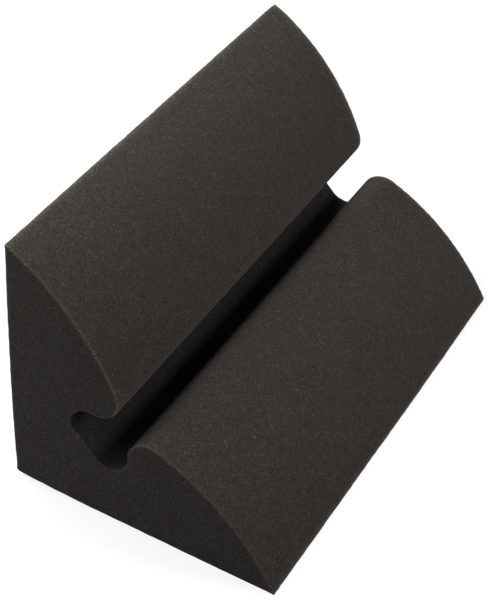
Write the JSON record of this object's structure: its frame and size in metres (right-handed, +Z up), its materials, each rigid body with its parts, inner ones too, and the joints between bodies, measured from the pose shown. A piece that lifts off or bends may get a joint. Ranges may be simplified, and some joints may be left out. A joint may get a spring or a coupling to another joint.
{
  "type": "bass trap",
  "caption": "Foam corner block that damps low sound: square back faces, and a curved lobed front parted by a full-length keyhole groove.",
  "frame": {"origin": "middle of the lower back face, on the surface that the block lies on", "axes": "+Z up, out of the lower back face; -X out of the upright back face, so the back corner edge runs along Y at the lowest Z and X; +Y along the length; the lobed front faces +X and +Z"},
  "size_m": [0.35, 0.6, 0.35],
  "materials": {
    "charcoal_foam": "matt open-cell polyurethane foam, charcoal"
  },
  "bodies": {
    "root": {"foam_block": "charcoal_foam"}
  },
  "joints": []
}
